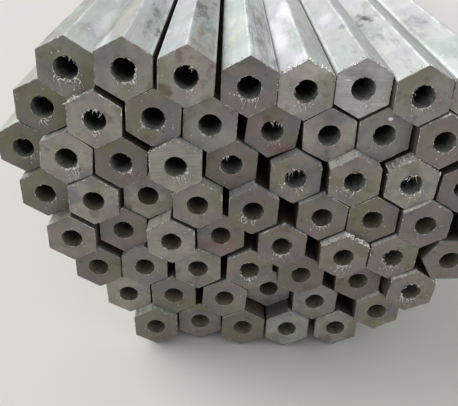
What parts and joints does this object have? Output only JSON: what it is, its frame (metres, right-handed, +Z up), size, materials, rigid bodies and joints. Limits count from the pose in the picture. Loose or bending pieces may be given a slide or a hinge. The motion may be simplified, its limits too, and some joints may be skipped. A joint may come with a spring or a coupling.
{
  "type": "bundle of hexagonal steel pipes",
  "caption": "Strapped bundle of long hexagonal steel pipes with round bores, lying in a loose honeycomb stack with staggered sawn ends.",
  "frame": {"origin": "middle of the bundle's footprint, on the floor that the straps and the lowest row lie on", "axes": "+Z up, +Y along the pipes from the staggered front ends to the back ends, +X across the bundle to the right as seen from the front"},
  "size_m": [0.3946, 3.033, 0.2712],
  "materials": {
    "row_1_steel": "bright drawn sides with light mill dirt, dull grey-brown sawn ends, dark bore",
    "row_2_steel": "bright drawn sides with light mill dirt, dull grey-brown sawn ends, dark bore",
    "row_3_steel": "bright drawn sides with light mill dirt, dull grey-brown sawn ends, dark bore",
    "row_4_steel": "bright drawn sides with light mill dirt, dull grey-brown sawn ends, dark bore",
    "row_5_steel": "bright drawn sides with light mill dirt, dull grey-brown sawn ends, dark bore",
    "row_6_steel": "bright drawn sides with light mill dirt, dull grey-brown sawn ends, dark bore",
    "row_7_steel": "bright drawn sides with light mill dirt, dull grey-brown sawn ends, dark bore",
    "row_8_steel": "bright drawn sides with light mill dirt, dull grey-brown sawn ends, dark bore",
    "strap_steel": "plain dark steel strapping, waxed",
    "seal_steel": "plain zinc-grey pressed steel"
  },
  "bodies": {
    "root": {"pipe_row_1": "row_1_steel", "pipe_row_2": "row_2_steel", "pipe_row_3": "row_3_steel", "pipe_row_4": "row_4_steel", "pipe_row_5": "row_5_steel", "pipe_row_6": "row_6_steel", "pipe_row_7": "row_7_steel", "pipe_row_8": "row_8_steel", "strap_front": "strap_steel", "strap_seal_front": "seal_steel", "strap_middle": "strap_steel", "strap_seal_middle": "seal_steel", "strap_back": "strap_steel", "strap_seal_back": "seal_steel"}
  },
  "joints": []
}
